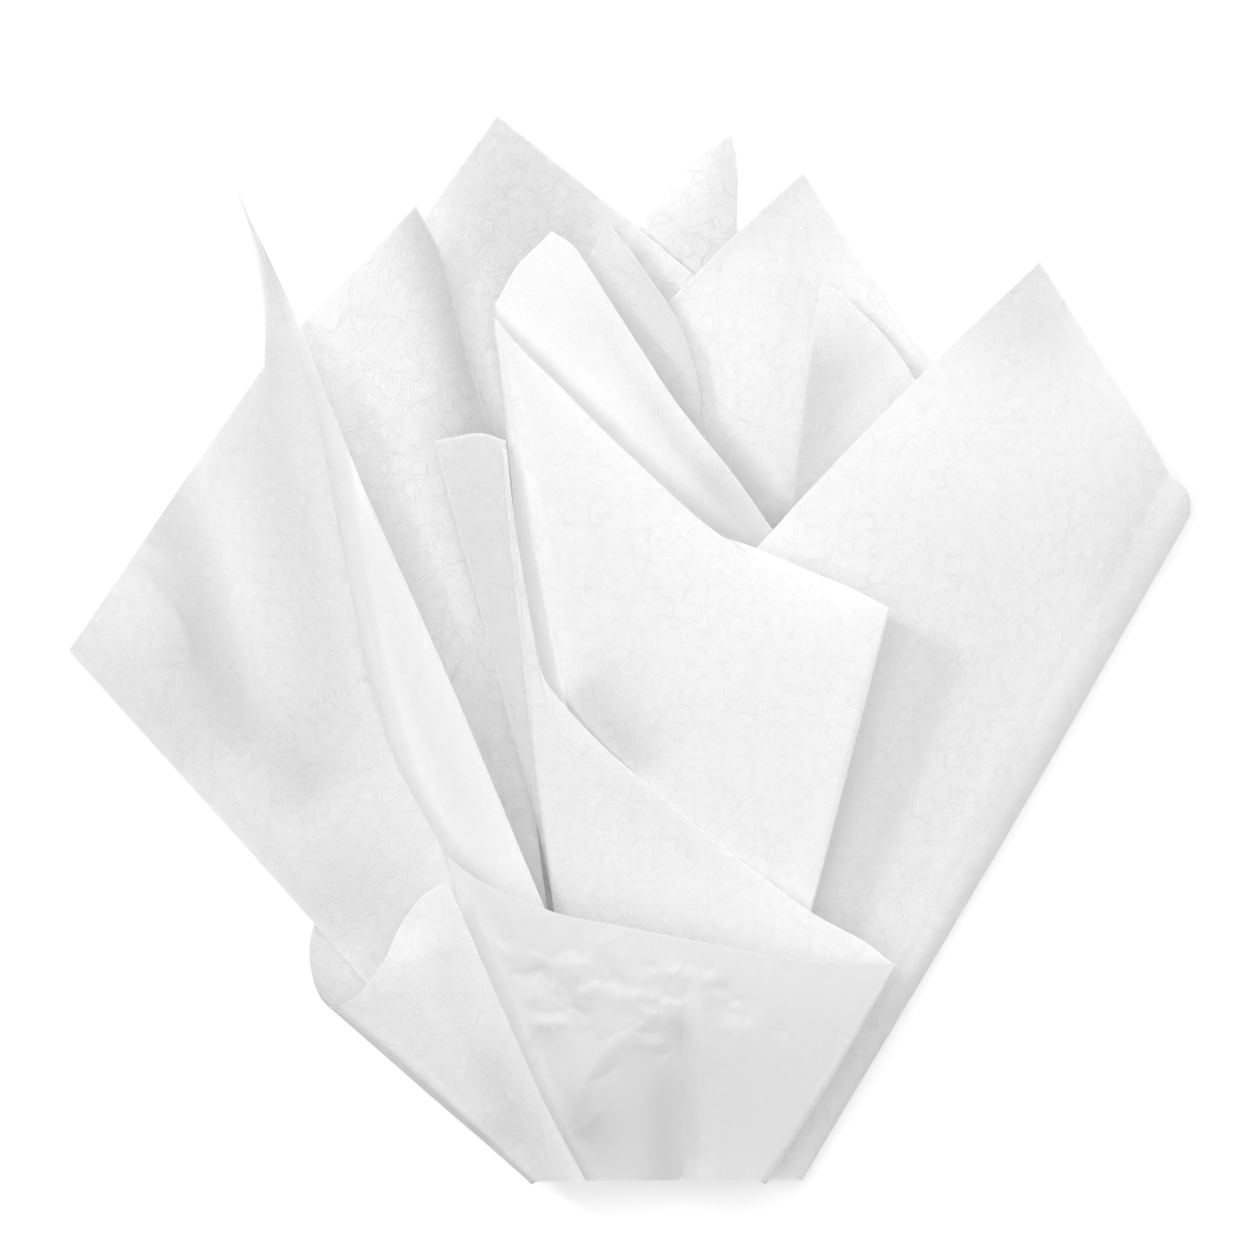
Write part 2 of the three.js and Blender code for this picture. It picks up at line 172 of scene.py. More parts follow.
class Panel:
    """One stretch of a sheet: as drawn, as relieved, and how its paper looks. tone is how
    white it is painted: painted shade, over the whole stretch and along lines where shade
    falls; and threads how strongly its pressed threads show."""

    PIN_STEP = 9  # fine steps from one place that holds the settled paper to the next
    NECK_PIN_STEP = 27
    GIVE = 20  # how loosely settled paper follows those places
    MARGIN = 12  # fine steps in from its edges over which the paper comes to lie as settled
    SWELLS = 14  # waves that add up to a panel's slack
    NECK_LENGTH = 40  # mm from the cut neck over which the paper is held tight
    CREASE_WIDTHS = (1.2, 3.5)  # mm that a small crease spreads to each side
    CREASE_RADIUS = 0.4  # mm

    def __init__(self, grid, tone=1.0, threads=1.0):
        self.drawn = grid
        self.places = grid.copy()
        self.tone = np.full(grid.shape[:2], tone)
        self.threads = np.full(grid.shape[:2], threads)

    def settle(self, *given):
        """Lets the paper between the panel's edges lie smoothly, close to given places."""
        grid, step = self.drawn, self.PIN_STEP
        columns, rows = grid.shape[:2]
        upper = [grid[::step, -1], grid[-1:, -1]]
        sides = [grid[0, ::step], grid[-1, ::step]]
        neck = [grid[:: self.NECK_PIN_STEP, 0]]
        pins = np.vstack([*upper, *sides, *neck, *given])
        pins = pins[np.unique(np.round(pins[:, :2]), axis=0, return_index=True)[1]]

        def bend(a, b):
            gap = np.linalg.norm(a[:, None, :2] - b[None, :, :2], axis=-1)
            return gap**2 * np.log(gap + 1e-9)

        def slope(a):
            return np.column_stack([np.ones(len(a)), a[:, :2]])

        system = np.zeros((len(pins) + 3, len(pins) + 3))
        system[:-3, :-3] = bend(pins, pins) + np.eye(len(pins)) * self.GIVE
        system[:-3, -3:] = slope(pins)
        system[-3:, :-3] = slope(pins).T
        weights = np.linalg.solve(system, np.append(pins[:, 2], [0, 0, 0]))
        flat = grid.reshape(-1, 3)
        lying = bend(flat, pins) @ weights[:-3] + slope(flat) @ weights[-3:]
        i, j = np.arange(columns)[:, None], np.arange(rows)[None]
        inside = np.minimum(np.minimum(i, columns - 1 - i), np.minimum(j, rows - 1 - j))
        lifted = lying.reshape(columns, rows) - grid[..., 2]
        self.places[..., 2] += lifted * ease(inside / self.MARGIN)
        return self

    def along(self, line, left, right, start, end, sharp=0.0):
        """How strongly each place takes part in something drawn along a line. left and right
        are how far it spreads to either hand of the way the line runs, in mm. start and end
        are the shares of the line over which it fades in and out. sharp is the radius of a
        crisp fold's back, in mm, or 0 for a soft one."""
        gap, hand, share = from_line(self.drawn, line)
        spread = np.where(hand > 0, left, right)
        if sharp:
            profile = np.exp(-(np.sqrt(gap**2 + sharp**2) - sharp) / spread)
        else:
            profile = np.exp(-((gap / spread) ** 2))
        if start:
            profile = profile * ease(share / start)
        if end:
            profile = profile * ease((1 - share) / end)
        return profile

    def fold(self, line, rise, left, right, start=0.0, end=0.0, sharp=0.0):
        """Raises the paper along a line by rise mm, or sinks it."""
        self.places[..., 2] += rise * self.along(line, left, right, start, end, sharp)

    def paint_shade(self, line, amount, left, right, start=0.0, end=0.0):
        """Painted shade: lessens the paper's whiteness along a line, where shade falls on it."""
        self.tone = self.tone - amount * self.along(line, left, right, start, end)

    def waver(self, size, rise, seed):
        """Slack: soft swells about size mm across, rising and sinking by about rise mm."""
        draw = np.random.default_rng(seed)
        height = np.zeros(self.tone.shape)
        for _ in range(self.SWELLS):
            heading = draw.normal(size=3)
            heading *= draw.uniform(0.6, 1.5) * 2 * np.pi / size / np.linalg.norm(heading)
            height += np.sin(self.drawn @ heading + draw.uniform(0, 2 * np.pi))
        free = ease(self.drawn[..., 1] / self.NECK_LENGTH)
        self.places[..., 2] += rise * height * free / np.sqrt(self.SWELLS / 2)
        return self

    def crumple(self, middle, spread, rise, count, seed, lengths=(8, 22)):
        """A count of small sharp creases, up to rise mm high or deep and mostly across the
        sheet. They gather about a middle point; spread and lengths are in mm."""
        draw = np.random.default_rng(seed)
        for _ in range(count):
            centre = np.array(middle) + draw.normal(size=2) * spread
            heading = draw.normal(0, 0.5)
            length = draw.uniform(*lengths)
            reach = np.array([np.cos(heading), np.sin(heading)]) * length / 2
            bow = np.array([-reach[1], reach[0]]) * draw.uniform(-0.3, 0.3)
            line = [centre - reach, centre + bow, centre + reach]
            height = draw.uniform(0.4, 1.0) * rise * draw.choice([-1, 1])
            left, right = draw.uniform(*self.CREASE_WIDTHS, size=2)
            self.fold(line, height, left, right, start=0.3, end=0.3, sharp=self.CREASE_RADIUS)


def sheet_mesh(name, panels):
    """One open sheet from its panels. Points that are one as drawn stay one. The attribute
    cut_edge_highlight is 1 along the cut edges, for a painted highlight there; tone, the panels'
    painted shade, and threads are the panels' own."""
    drawn = np.vstack([panel.drawn.reshape(-1, 3) for panel in panels])
    shaped = np.vstack([panel.places.reshape(-1, 3) for panel in panels])
    _, index = np.unique(np.round(drawn, WELD_PLACES), axis=0, return_inverse=True)
    index = index.ravel()
    count = np.bincount(index)
    places = np.stack([np.bincount(index, shaped[:, k]) / count for k in range(3)], axis=1)
    faces, start = [], 0
    for panel in panels:
        columns, rows = panel.tone.shape
        own = index[start : start + columns * rows].reshape(columns, rows)
        start += columns * rows
        quads = np.stack([own[:-1, :-1], own[1:, :-1], own[1:, 1:], own[:-1, 1:]], axis=-1)
        faces.append(quads.reshape(-1, 4))
    faces = [list(dict.fromkeys(face)) for face in np.vstack(faces).tolist()]
    faces = [face for face in faces if len(face) > 2]
    mesh = bpy.data.meshes.new(name)
    mesh.from_pydata((places + BUNCH_MOVE) / MM_PER_METRE, [], faces)
    uses = np.zeros(len(mesh.edges), int)
    edge_of = np.zeros(len(mesh.loops), int)
    mesh.loops.foreach_get("edge_index", edge_of)
    np.add.at(uses, edge_of, 1)
    ends = np.zeros(2 * len(mesh.edges), int)
    mesh.edges.foreach_get("vertices", ends)
    on_edge = np.zeros(len(mesh.vertices))
    on_edge[ends.reshape(-1, 2)[uses == 1].ravel()] = 1
    looks = {"cut_edge_highlight": on_edge}
    for look in ("tone", "threads"):
        values = np.hstack([getattr(panel, look).ravel() for panel in panels])
        looks[look] = np.bincount(index, values) / count
    for look, values in looks.items():
        mesh.attributes.new(look, "FLOAT", "POINT").data.foreach_set("value", values)
    mesh.shade_smooth()
    return mesh


def plug(tree, socket, value):
    """Feeds a socket from another node's output, or sets the socket's own value."""
    if isinstance(value, bpy.types.NodeSocket):
        tree.links.new(value, socket)
    else:
        socket.default_value = value


def math_node(tree, operation, *values):
    """The output of a Math node fed with sockets or numbers."""
    node = tree.nodes.new("ShaderNodeMath")
    node.operation = operation
    for socket, value in zip(node.inputs, values):
        plug(tree, socket, value)
    return node.outputs[0]


def vector_node(tree, operation, a, b, output=0):
    """The output of a Vector Math node fed with sockets or vectors, or scaled by b."""
    node = tree.nodes.new("ShaderNodeVectorMath")
    node.operation = operation
    plug(tree, node.inputs[0], a)
    plug(tree, node.inputs["Scale" if operation == "SCALE" else 1], b)
    return node.outputs[output]


def curled_thread_group():
    """A shader group for the short curled threads pressed into the tissue."""
    curl_bends = 1.3  # swells of the noise that bends the curls, to each curl
    curl_shift = 1.1  # how far it shifts them, in curls
    group = bpy.data.node_groups.new("Curled threads", "ShaderNodeTree")
    face = group.interface
    face.new_socket("Place", in_out="INPUT", socket_type="NodeSocketVector")
    density = face.new_socket("Curls per metre", in_out="INPUT", socket_type="NodeSocketFloat")
    density.default_value = 150
    width = face.new_socket("Thread width", in_out="INPUT", socket_type="NodeSocketFloat")
    width.default_value = 0.075  # in curls
    face.new_socket("Threads", in_out="OUTPUT", socket_type="NodeSocketFloat")
    nodes, links = group.nodes, group.links
    entry = nodes.new("NodeGroupInput")
    leave = nodes.new("NodeGroupOutput")

    curls = entry.outputs["Curls per metre"]
    bend = nodes.new("ShaderNodeTexNoise")
    bend.inputs["Detail"].default_value = 0.0
    links.new(entry.outputs["Place"], bend.inputs["Vector"])
    links.new(math_node(group, "MULTIPLY", curls, curl_bends), bend.inputs["Scale"])
    centred = vector_node(group, "SUBTRACT", bend.outputs["Color"], (0.5, 0.5, 0.5))
    shift = vector_node(group, "SCALE", centred, math_node(group, "DIVIDE", curl_shift, curls))
    bent = vector_node(group, "ADD", entry.outputs["Place"], shift)

    def arcs(offset, ring):
        """Arcs of rings round scattered points, each cut off along a line of its own. ring
        is their radius, in curls."""
        moved = vector_node(group, "ADD", bent, offset)
        cells = nodes.new("ShaderNodeTexVoronoi")
        cells.voronoi_dimensions = "2D"
        cells.feature = "F1"
        links.new(moved, cells.inputs["Vector"])
        links.new(curls, cells.inputs["Scale"])
        past = math_node(group, "SUBTRACT", cells.outputs["Distance"], ring)
        off = math_node(group, "ABSOLUTE", past)
        fall = math_node(group, "DIVIDE", off, entry.outputs["Thread width"])
        line = math_node(group, "MAXIMUM", math_node(group, "SUBTRACT", 1.0, fall), 0.0)
        heading = vector_node(group, "SUBTRACT", cells.outputs["Color"], (0.5, 0.5, 0.5))
        arm = vector_node(group, "SUBTRACT", moved, cells.outputs["Position"])
        flat_arm = vector_node(group, "MULTIPLY", arm, (1, 1, 0))
        ahead = vector_node(group, "DOT_PRODUCT", flat_arm, heading, "Value")
        keep = nodes.new("ShaderNodeMapRange")
        keep.interpolation_type = "SMOOTHSTEP"
        keep.inputs["From Min"].default_value = -0.11
        keep.inputs["From Max"].default_value = -0.05
        links.new(math_node(group, "MULTIPLY", ahead, curls), keep.inputs["Value"])
        return math_node(group, "MULTIPLY", line, keep.outputs["Result"])

    middle_arcs = arcs((0, 0, 0), ring=0.38)
    wide_arcs = arcs((0.31, 0.17, 0.23), ring=0.46)
    small_arcs = arcs((0.71, 0.53, 0.37), ring=0.3)
    threads = math_node(group, "MAXIMUM", middle_arcs, wide_arcs)
    threads = math_node(group, "MAXIMUM", threads, small_arcs)
    links.new(threads, leave.inputs["Threads"])
    return group


curled_threads = curled_thread_group()
THROUGH = 0.42  # the share of a sheet's light that comes through it from its other side


def tissue(name, shade, offset, curls=200, lift=0.04, thread_rise=0.00013):
    """White tissue paper: pressed threads, a painted highlight along the thin cut edge, painted
    shade from its sheet's tone, and light that comes through the sheet. shade is how white it
    is: the paper's own white with painted light on top, as it is set whiter for sheets that get
    less light; offset gives it threads of its own, lift is how much whiter they are than the
    paper, and thread_rise how high they stand, in metres."""
    material = bpy.data.materials.new(name)
    material.use_nodes = True
    tree = material.node_tree
    nodes, links = tree.nodes, tree.links
    paper = nodes["Principled BSDF"]
    paper.inputs["Roughness"].default_value = 0.62
    paper.inputs["Specular IOR Level"].default_value = 0.25

    def attribute(name):
        """A value that the sheet's mesh carries at each of its points."""
        node = nodes.new("ShaderNodeAttribute")
        node.attribute_name = name
        return node.outputs["Fac"]

    place = nodes.new("ShaderNodeTexCoord")
    moved = nodes.new("ShaderNodeMapping")
    moved.inputs["Location"].default_value = offset
    links.new(place.outputs["Object"], moved.inputs["Vector"])

    threads = nodes.new("ShaderNodeGroup")
    threads.node_tree = curled_threads
    threads.inputs["Curls per metre"].default_value = curls
    links.new(moved.outputs[0], threads.inputs["Place"])
    pressed = math_node(tree, "MULTIPLY", threads.outputs["Threads"], attribute("threads"))
    raised = nodes.new("ShaderNodeBump")
    raised.inputs["Strength"].default_value = 1.0
    raised.inputs["Distance"].default_value = thread_rise
    links.new(pressed, raised.inputs["Height"])
    links.new(raised.outputs["Normal"], paper.inputs["Normal"])

    between = shade - 0.25 * lift  # a little darker than shade, as the threads are whiter
    whiteness = math_node(tree, "MULTIPLY_ADD", pressed, lift, between)
    # painted highlight: a thin whiter line along the cut edges, as where light catches the
    # paper's edge
    line = nodes.new("ShaderNodeMapRange")
    line.interpolation_type = "SMOOTHSTEP"
    line.inputs["From Min"].default_value = 0.35
    line.inputs["From Max"].default_value = 0.75
    line.inputs["To Max"].default_value = 0.08
    links.new(attribute("cut_edge_highlight"), line.inputs["Value"])
    # painted shade: the paper's whiteness is lessened by the panels' painted shade
    with_painted_shade = math_node(tree, "MULTIPLY", whiteness, attribute("tone"))
    grey = math_node(tree, "ADD", with_painted_shade, line.outputs["Result"])
    grey.node.use_clamp = True
    colour = nodes.new("ShaderNodeCombineColor")
    for channel in ("Red", "Green", "Blue"):
        links.new(grey, colour.inputs[channel])
    links.new(colour.outputs["Color"], paper.inputs["Base Color"])

    def let_through(front, white):
        """A mix of the paper's face and the light that comes through it."""
        through = nodes.new("ShaderNodeBsdfTranslucent")
        plug(tree, through.inputs["Color"], white)
        both = nodes.new("ShaderNodeMixShader")
        both.inputs["Fac"].default_value = THROUGH
        links.new(front.outputs[0], both.inputs[1])
        links.new(through.outputs[0], both.inputs[2])
        return both.outputs[0]

    # only what the eye sees directly needs the threads; light between the sheets does not
    plain = nodes.new("ShaderNodeBsdfDiffuse")
    plain_white = (shade, shade, shade, 1)
    plain.inputs["Color"].default_value = plain_white
    ray = nodes.new("ShaderNodeLightPath")
    surface = nodes.new("ShaderNodeMixShader")
    links.new(ray.outputs["Is Camera Ray"], surface.inputs["Fac"])
    links.new(let_through(plain, plain_white), surface.inputs[1])
    links.new(let_through(paper, colour.outputs["Color"]), surface.inputs[2])
    links.new(surface.outputs[0], nodes["Material Output"].inputs["Surface"])
    return material


def add_sheet(name, node, panels, material):
    """Puts a finished sheet in the bunch, in place of the plain solid."""
    mesh = sheet_mesh(name, panels)
    mesh.materials.append(material)
    sheet = bpy.data.objects.new(name, mesh)
    bpy.context.collection.objects.link(sheet)
    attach(sheet, "root")
    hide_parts(node)


wing_side = side([[-29, 0, 41], [-107, 89, 57], [-186, 177, 76]], 20)
wing_top = joined(
    rim([[-186, 177, 76], [-165, 208, 70], [-147, 235, 66], [-121, 272, 70]], 9),
    rim([[-121, 272, 70], [-120.5, 289, 72], [-124, 313, 68], [-131.7, 334.7, 63]], 4),
)
seam = side([[-20, 0, 41], [-46, 55, 58], [-61, 110, 80]], 8)
spike_edge = side([
    [-61, 110, 80], [-80, 146, 84], [-92, 182, 86], [-99, 218, 86], [-107, 261, 84],
    [-110, 278, 82], [-115.5, 290, 79], [-123.5, 314, 71], [-131.7, 334.7, 63],
], 12)
wing = patch(wing_side, wing_top, joined(seam, spike_edge))

wall_top = rim([
    [-61, 110, 80], [-54, 104, 83], [-46, 99, 86], [-23, 90, 91], [-4, 86, 94],
    [17, 82, 94], [32, 79, 91], [53, 75, 84], [88, 73, 70],
], 14)
wall_end = side([[43, 0, 40], [66, 36, 57], [88, 73, 70]], 8)
wall = patch(seam, wall_top, wall_end)

inner_end = side([[43, 0, 31], [66, 36, 50], [88, 73, 66]], 8)
wall_fold = turn(wall_end, inner_end, way=1, reach=0.7)
inner_top = joined(
    rim([
        [88, 73, 66], [79, 80, 63], [61, 90, 60], [46, 101, 58.5], [30, 113, 57.5],
        [13, 127, 57], [-9, 146, 57], [-20, 157.5, 57],
    ], 11),
    rim([
        [-20, 157.5, 57], [-28, 168, 58], [-31.5, 183, 59], [-34.5, 200, 60],
        [-38, 222, 61], [-40.3, 244, 61],
    ], 8),
)
inner_side = side([
    [-13, 0, 31], [-18, 45, 36], [-23.5, 90, 42], [-31.5, 150, 51], [-35.5, 190, 56],
    [-38.8, 222, 59], [-40.3, 244, 61],
], 8)
inner_wall = patch(inner_end, inner_top, inner_side)

tongue_side = side([
    [-13, 0, 28], [-18, 45, 33], [-23.5, 90, 39], [-31.5, 150, 48], [-35.5, 190, 53],
    [-38.8, 222, 56], [-40.3, 247, 58],
], 8)
tongue_top = rim([[-40.3, 247, 58], [-49, 249.5, 56], [-57, 248.5, 53], [-64.7, 247, 49]], 3)
tongue_edge = side([[-18, 0, 27], [-24.5, 90, 36], [-44, 170, 43], [-64.7, 247, 49]], 8)
tongue = patch(tongue_side, tongue_top, tongue_edge)
tongue_bend = turn(inner_side, tongue_side, way=-1, reach=0.8)

# the wing bends back into a long trough, and its corner is creased and crumpled a little.
# Painted shade makes it a little less white all over, and more so at its corner, in a band
# beside the trough and below that band.
wing = Panel(wing, tone=0.97).settle().waver(size=60, rise=0.7, seed=11)
trough = [
    (-160, 285), (-143, 250), (-131, 215), (-124, 181), (-115, 154), (-100, 131), (-90, 108),
]
wing.fold(trough, rise=-19, left=26, right=20, start=0.2, end=0.4)
corner_crease = [(-165, 209), (-158, 199), (-150, 190), (-146, 180), (-144, 166)]
wing.fold(corner_crease, rise=4.0, left=3, right=8, start=0.15, end=0.35, sharp=0.4)
wing.crumple((-155, 222), (4, 8), rise=1.2, count=7, seed=3, lengths=(7, 15))
wing.paint_shade([(-190, 177), (-160, 160)], amount=0.13, left=30, right=30)
painted_shade_band = [(-156, 232), (-148, 207), (-141, 181), (-132, 160), (-113, 137), (-97, 122)]
wing.paint_shade(painted_shade_band, amount=0.15, left=14, right=12, end=0.15)
wing.paint_shade([(-150, 140), (-112, 100)], amount=0.05, left=25, right=25)

# the wall has a deep dent near its middle, a ridge at each side of it, and small creases;
# painted shade darkens the dent's left side and the wall's lower left near the neck
wall = Panel(wall, threads=0.4).settle()
dent = [(17, 62), (17.5, 47), (18.3, 33), (19.5, 19), (20, 8), (17, -4)]
wall.fold(dent, rise=-10, left=3, right=13, start=0.3, sharp=0.8)
wall.paint_shade([(13, 42), (12, 24), (13, -4)], amount=0.1, left=7, right=7, start=0.3)
left_ridge = [(16, 60), (2, 52), (-8, 43), (-14.5, 33), (-17, 23.5), (-18.5, 13)]
wall.fold(left_ridge, rise=3, left=7, right=4, start=0.25, end=0.3, sharp=0.5)
right_ridge = [(26, 66), (24, 50), (27, 35)]
wall.fold(right_ridge, rise=2, left=6, right=9, start=0.3, end=0.4, sharp=0.7)
wall.crumple((-14, 62), (19, 14), rise=1.4, count=80, seed=4, lengths=(7, 20))
wall.crumple((24, 62), (13, 11), rise=0.8, count=26, seed=9)
wall.paint_shade([(-30, -4), (-16, 16)], amount=0.16, left=15, right=15)

wall_fold = Panel(wall_fold)
inner_wall = Panel(inner_wall).settle().waver(size=70, rise=0.5, seed=12)
# painted shade: the bend into the tongue and the tongue itself are made less white, where they
# lie in shade
tongue_bend = Panel(tongue_bend, tone=0.95)
tongue = Panel(tongue, tone=0.88)
front_panels = [wing, wall, wall_fold, inner_wall, tongue_bend, tongue]

front_paper = tissue("front tissue", shade=0.915, offset=(0.1, 0.2, 0.3))
add_sheet(
    "front_tissue", "front_sheet", front_panels, front_paper,
)

# -------------------------------------------------------------------------------- cuff sheet
# A cut sheet of tissue paper, folded over by hand so that it hooks round the wing's lower
# edge and held in the neck. A short cuff lies in front of the wing, and the rest stands
# close behind it, up to the tip of its spike.

cuff_edge = side([[-14, 0, 46], [-27, 25, 56], [-40, 54, 69], [-60, 101, 89]], 8)
cuff_top = rim([
    [-60, 101, 89], [-69, 95, 90], [-76, 85, 88], [-80.5, 75, 85], [-87, 66, 80],
    [-91, 62, 76], [-96, 59, 70],
], 8)
cuff_side = side([[-30, 0, 45], [-63, 29.5, 58], [-96, 59, 70]], 8)
cuff = patch(cuff_edge, cuff_top, cuff_side)
behind_side = side([[-30, 0, 36], [-68, 43, 44], [-103, 88, 51]], 8)
hook = turn(cuff_side, behind_side, way=-1, reach=0.5)
behind_top = rim([
    [-103, 88, 51], [-110, 112, 52], [-120, 150, 54], [-127, 195, 57], [-128, 235, 60],
    [-122, 268, 62], [-121.5, 290, 63], [-125, 313, 62], [-131.5, 333.5, 60.5],
], 16)
strip_edge = side([
    [10, 0, 37], [-10, 50, 48], [-27.7, 91.3, 56], [-41.3, 124, 61], [-56, 159.3, 65],
    [-68.7, 188.3, 67], [-88, 231.7, 69], [-99.7, 260.7, 69], [-108.7, 284.7, 68],
    [-115.3, 299.3, 67], [-125.7, 321, 63], [-131.5, 333.5, 60.5],
], 8)
behind = patch(behind_side, behind_top, strip_edge)

cuff_paper = tissue("cuff tissue", shade=0.93, offset=(0.4, 0.1, 0.6))

# the cuff swells along its middle; the part behind bows forward, and dips behind the wing's
# trough and at the foot, so that it stays clear of the front sheet
cuff = Panel(cuff).settle()
cuff.fold(
    [(-74, 86), (-64, 58), (-54, 34), (-42, 8)],
    rise=6, left=9, right=15, start=0.15, end=0.2,
)
# painted shade along a band toward the cuff's lower right
cuff.paint_shade([(-52, 52), (-44, 34), (-34, 18), (-26, 0)], amount=0.09, left=8, right=8, start=0.3)
behind = Panel(behind, threads=0.6).settle()
behind.fold([(-62, 112), (-82, 165), (-96, 215), (-104, 250)], rise=9, left=12, right=14, end=0.3)
behind.fold(
    [(-120, 140), (-128, 190), (-130, 235), (-123, 272)],
    rise=-12, left=14, right=14, end=0.2,
)
behind.fold([(14, -8), (4, 14), (-8, 40)], rise=-6, left=16, right=16, end=0.3)
# painted shade where the paper hooks round: the hook is made less white, and so is the part
# behind near it
behind.paint_shade([(-99, 60), (-104, 90)], amount=0.28, left=14, right=14)
cuff_panels = [cuff, Panel(hook, tone=0.85), behind]
add_sheet(
    "cuff_tissue", "cuff_sheet", cuff_panels, cuff_paper,
)

# -------------------------------------------------------------------------------- back sheet
# The rearmost cut sheet of tissue paper, held in the gathered neck. Its left corner rolls
# forward, its tall corner stands at the back, and its right corner doubles back behind that
# and ends in a small curl.

roll_edge = side([
    [-14, 0, 24], [-27, 90, 27], [-38, 180, 27], [-46, 249, 25], [-52.5, 272, 26],
    [-57, 289, 28], [-61, 306, 31], [-70.7, 325.7, 38],
], 12)
roll_top = rim([
    [-70.7, 325.7, 38], [-90, 305, 44], [-109, 285, 42], [-122, 262, 38], [-124, 240, 34],
], 8)
roll_side = side([[-24, 0, 24], [-60, 90, 30], [-98, 170, 32], [-124, 240, 34]], 12)
roll = patch(roll_edge, roll_top, roll_side)
tall_side = side([[-24, 0, 4], [-60, 90, 2.5], [-98, 170, 1.5], [-124, 240, 1]], 12)
left_turn = turn(roll_side, tall_side, way=-1, reach=0.5)
tall_top = joined(
    rim([[-124, 240, 1], [-96, 282, 7], [-67.7, 322.7, 13], [-43.7, 356.3, 17]], 8),
    rim([[-43.7, 356.3, 17], [-20, 337, 16], [4.7, 317.3, 15], [44, 284, 12]], 8),
)
tall_end = side([[40, 0, 4], [42, 142, 8], [44, 284, 12]], 12)
tall = patch(tall_side, tall_top, tall_end)
curl_side = side([[40, 0, 1], [42, 142, 1.5], [44, 284, 3]], 12)
right_turn = turn(tall_end, curl_side, way=1, reach=0.8)
curl_edge = side([
    [44, 284, 3], [38.5, 302, 3], [36.7, 317, 3], [36.7, 339, 5], [35, 350, 7],
], 4)
curl_top = rim([
    [35, 350, 7], [24, 342.7, 9], [15.7, 334, 8], [9, 326.7, 6], [5, 321.3, 4],
    [3, 316, 3], [-2, 300, 2],
], 9)
curl_end = side([[-5, 0, 1], [-4, 150, 1.5], [-2, 300, 2]], 16)
curl = patch(joined(curl_side, curl_edge), curl_top, curl_end)

# the rolled corner swells forward beside the cuff sheet, and the tall corner behind it.
# Painted shade makes the rolled corner, the tall corner and the curl a little less white all
# over, and more so along the rolled corner's right side, at the tall corner's tip and along
# the curl's outer edge.
roll = Panel(roll, tone=0.965).settle()
roll.fold(
    [(-130, 325), (-112, 285), (-100, 250), (-88, 232), (-68, 188), (-56, 159), (-41, 124)],
    rise=16, left=34, right=26, start=0.08, end=0.4,
)
roll.fold(
    [(-74, 312), (-66, 285), (-62, 250), (-56, 200), (-48, 150)],
    rise=6, left=12, right=16, end=0.4,
)
roll.paint_shade([(-66, 326), (-57, 295), (-50, 250), (-42, 190)], amount=0.2, left=12, right=12, end=0.3)

tall = Panel(tall, tone=0.97).settle().waver(size=70, rise=0.5, seed=22)
tall.fold(
    [(-70, 322), (-57, 289), (-46, 249), (-42, 215), (-38, 180)],
    rise=12, left=22, right=14, end=0.3,
)
tall.paint_shade([(-44, 358), (-30, 328)], amount=0.19, left=34, right=28)
curl = Panel(curl, tone=0.97).settle()
curl.fold([(-4, 322), (20, 302), (46, 282)], rise=6, left=14, right=14)
curl.paint_shade([(36, 350), (38, 300)], amount=0.08, left=9, right=9)
back_panels = [roll, Panel(left_turn), tall, Panel(right_turn), curl]
back_paper = tissue(
    "back tissue", shade=0.965, offset=(0.7, 0.5, 0.2),
    curls=170, lift=0.055, thread_rise=0.00018,
)
add_sheet(
    "back_tissue", "back_sheet", back_panels, back_paper,
)

# ------------------------------------------------------------------------------ centre sheet
# A cut sheet of tissue paper, wrapped into a cone in the middle and held in the gathered
# neck. Its broad front is folded at the right edge, where a short inner leaf doubles back,
# and turns at the left into the taller leaf behind.

leaf_edge = side([[10, 0, 18.5], [15, 106, 37], [20, 218, 54]], 12)
leaf_top = rim([
    [20, 218, 54], [34.3, 214, 59], [42.3, 211.3, 61], [60, 203.7, 64], [75, 197.5, 65.5],
    [86, 191.7, 66],
], 6)
leaf_fold = side([[36, 0, 18.5], [60, 91, 42], [86, 191.7, 66]], 12)
inner_leaf = patch(leaf_edge, leaf_top, leaf_fold)
front_fold = side([[36, 0, 21.5], [60, 91, 45.5], [86, 191.7, 69]], 12)
cone_fold = turn(leaf_fold, front_fold, way=1, reach=0.8)
front_top = rim([
    [86, 191.7, 69], [79, 192.3, 70], [69.7, 194.7, 71], [53.3, 201.3, 72],
    [37.3, 210.7, 72], [22, 222.3, 71.5], [3.7, 239, 70], [-9.7, 251.7, 69],
    [-21.7, 264, 67], [-33.7, 275.7, 63], [-40.3, 283, 59], [-44, 288, 55],
], 14)
front_side = side([
    [-4, 0, 21.5], [-12, 80, 36], [-20.3, 157.7, 49], [-28.3, 201, 52],
    [-32.7, 222.3, 53], [-36.7, 240.3, 53.5], [-40, 260, 54], [-44, 288, 55],
], 12)
cone_front = patch(front_fold, front_top, front_side)
cone_side = side([
    [-4, 0, 12], [-16, 80, 22], [-30, 157.7, 31], [-36, 201, 36], [-39, 240, 40],
    [-44, 293, 43],
], 12)
cone_bend = turn(front_side, cone_side, way=-1, reach=0.2)
cone_top = joined(
    rim([[-44, 293, 43], [-37, 305.3, 43], [-29.3, 313, 43], [-25.5, 317, 43]], 4),
    rim([
        [-25.5, 317, 43], [-18.3, 312, 42], [-14, 306, 41.5], [3, 279.7, 39],
        [15.7, 260.3, 37], [36.3, 234.3, 34], [48.3, 217.3, 31], [67, 191, 28],
    ], 12),
)
cone_edge = side([[48, 0, 12], [57, 96, 20], [67, 191, 28]], 12)
tall_leaf = patch(cone_side, cone_top, cone_edge)

